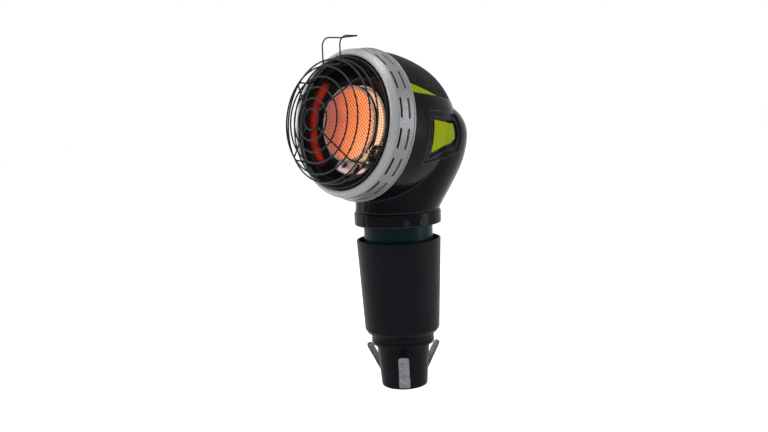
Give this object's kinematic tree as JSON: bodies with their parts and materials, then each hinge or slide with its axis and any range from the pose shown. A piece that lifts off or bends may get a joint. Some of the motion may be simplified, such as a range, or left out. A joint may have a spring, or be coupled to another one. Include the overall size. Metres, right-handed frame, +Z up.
{
  "type": "portable propane heater",
  "caption": "Round infrared gas heater head with a wire guard and tilted face, screwed on a gas cylinder that stands in a cup-holder adapter with spring clips.",
  "frame": {"origin": "centre of the adapter's flat underside", "axes": "+Z up, +X to the heater's own left, the head looks along -Y and is tilted 8.2 degrees up"},
  "size_m": [0.209, 0.2524, 0.4984],
  "materials": {
    "adapter_plastic": "satin moulded black",
    "clip_steel": "bare galvanised spring steel",
    "rivet_steel": "plain",
    "cylinder_paint": "gloss dark green",
    "valve_brass": "turned",
    "seal_rubber": "moulded",
    "regulator_alloy": "die cast",
    "switch_plastic": "moulded",
    "bezel_paint": "silver hammered paint",
    "guard_paint": "black enamel",
    "reflector_chrome": "polished",
    "flange_enamel": "heat-proof black",
    "shield_steel": "plain sheet",
    "screw_steel": "zinc plated",
    "collar_screw_steel": "black oxide",
    "tile_ceramic": "pierced refractory, glowing",
    "screen_steel": "heat-tinted wire screen",
    "rim_steel": "heat-tinted",
    "plenum_steel": "drawn sheet",
    "jet_brass": "machined",
    "bracket_steel": "plain sheet",
    "pilot_brass": "machined",
    "probe_steel": "bright",
    "electrode_ceramic": "glazed white",
    "valve_alloy": "die cast",
    "stem_brass": "turned",
    "spring_steel": "bright",
    "knob_plastic": "moulded black",
    "dial_paint": "silver",
    "tube_aluminium": "drawn",
    "button_plastic": "moulded red",
    "piezo_plastic": "moulded",
    "cover_plastic": "textured black",
    "lime_plastic": "moulded lime",
    "label_lime": "bare lime plate",
    "housing_plastic": "satin black"
  },
  "bodies": {
    "adapter": {"adapter_cup": "adapter_plastic", "clip_feet": "clip_steel", "clip_rivets": "rivet_steel"},
    "clip_front": {"clip_front": "clip_steel"},
    "clip_right": {"clip_right": "clip_steel"},
    "clip_left": {"clip_left": "clip_steel"},
    "cylinder": {"propane_cylinder": "cylinder_paint", "cylinder_valve": "valve_brass"},
    "seal": {"inlet_seal": "seal_rubber"},
    "head": {"regulator": "regulator_alloy", "tip_switch": "switch_plastic", "front_bezel": "bezel_paint", "guard_face_rings": "guard_paint", "guard_side_rings": "guard_paint", "guard_ribs": "guard_paint", "guard_loop": "guard_paint", "reflector": "reflector_chrome", "reflector_flange": "flange_enamel", "heat_shield": "shield_steel", "shield_screws": "screw_steel", "burner_tile": "tile_ceramic", "burner_screen": "screen_steel", "burner_rim": "rim_steel", "burner_plenum": "plenum_steel", "mixing_tube": "plenum_steel", "orifice_holder": "jet_brass", "pilot_bracket": "bracket_steel", "pilot_burner": "pilot_brass", "thermocouple": "probe_steel", "igniter_electrode": "electrode_ceramic", "valve_body": "valve_alloy", "dial_plate": "dial_paint", "main_gas_tube": "tube_aluminium", "burner_gas_tube": "tube_aluminium", "pilot_gas_tube": "tube_aluminium", "piezo_igniter": "piezo_plastic", "top_cover": "cover_plastic", "accent_strip_right": "lime_plastic", "accent_strip_left": "lime_plastic", "label_plate_right": "label_lime", "label_plate_left": "label_lime", "housing_screws": "screw_steel", "cover_screws": "screw_steel", "collar_screws": "collar_screw_steel", "housing_right": "housing_plastic", "housing_left": "housing_plastic"},
    "plunger": {"valve_plunger": "stem_brass", "plunger_spring": "spring_steel"},
    "knob": {"valve_stem": "stem_brass", "control_knob": "knob_plastic"},
    "igniter": {"igniter_button": "button_plastic"}
  },
  "joints": [
    {"name": "clip_front_flex", "type": "hinge", "parent": "adapter", "child": "clip_front", "pos_m": [0.02424, -0.0251, 0.0178], "axis": [-0.7193, -0.6947, 0], "range_deg": [0, 20], "stiffness_Nm_per_rad": 1.5, "springref_deg": -2.86},
    {"name": "clip_right_flex", "type": "hinge", "parent": "adapter", "child": "clip_right", "pos_m": [0.00962, 0.03355, 0.0178], "axis": [0.9613, -0.2756, 0], "range_deg": [0, 20], "stiffness_Nm_per_rad": 1.5, "springref_deg": -2.86},
    {"name": "clip_left_flex", "type": "hinge", "parent": "adapter", "child": "clip_left", "pos_m": [-0.03386, -0.00844, 0.0178], "axis": [-0.2419, 0.9703, 0], "range_deg": [0, 20], "stiffness_Nm_per_rad": 1.5, "springref_deg": -2.86},
    {"name": "cylinder_lift", "type": "slide", "parent": "adapter", "child": "cylinder", "axis": [0, 0, 1], "range_m": [0, 0.14]},
    {"name": "head_rise", "type": "slide", "parent": "cylinder", "child": "seal", "axis": [0, 0, 1], "range_m": [0, 0.0052]},
    {"name": "head_turn", "type": "hinge", "parent": "seal", "child": "head", "pos_m": [0, 0, 0.28], "axis": [0, 0, 1], "range_deg": [0, 1440]},
    {"name": "stem_push", "type": "slide", "parent": "head", "child": "plunger", "axis": [0, -0.6455, -0.7638], "range_m": [0, 0.003], "stiffness_N_per_m": 400, "springref_m": -0.0075},
    {"name": "knob_turn", "type": "hinge", "parent": "plunger", "child": "knob", "pos_m": [0, 0.04658, 0.44502], "axis": [0, 0.6455, 0.7638], "range_deg": [0, 120]},
    {"name": "igniter_press", "type": "slide", "parent": "head", "child": "igniter", "axis": [0, -0.8111, -0.585], "range_m": [0, 0.005], "stiffness_N_per_m": 600, "springref_m": -0.004}
  ],
  "couplings": [
    {"joint": "head_rise", "follows": "head_turn", "m_per_rad": 0.00020213}
  ]
}
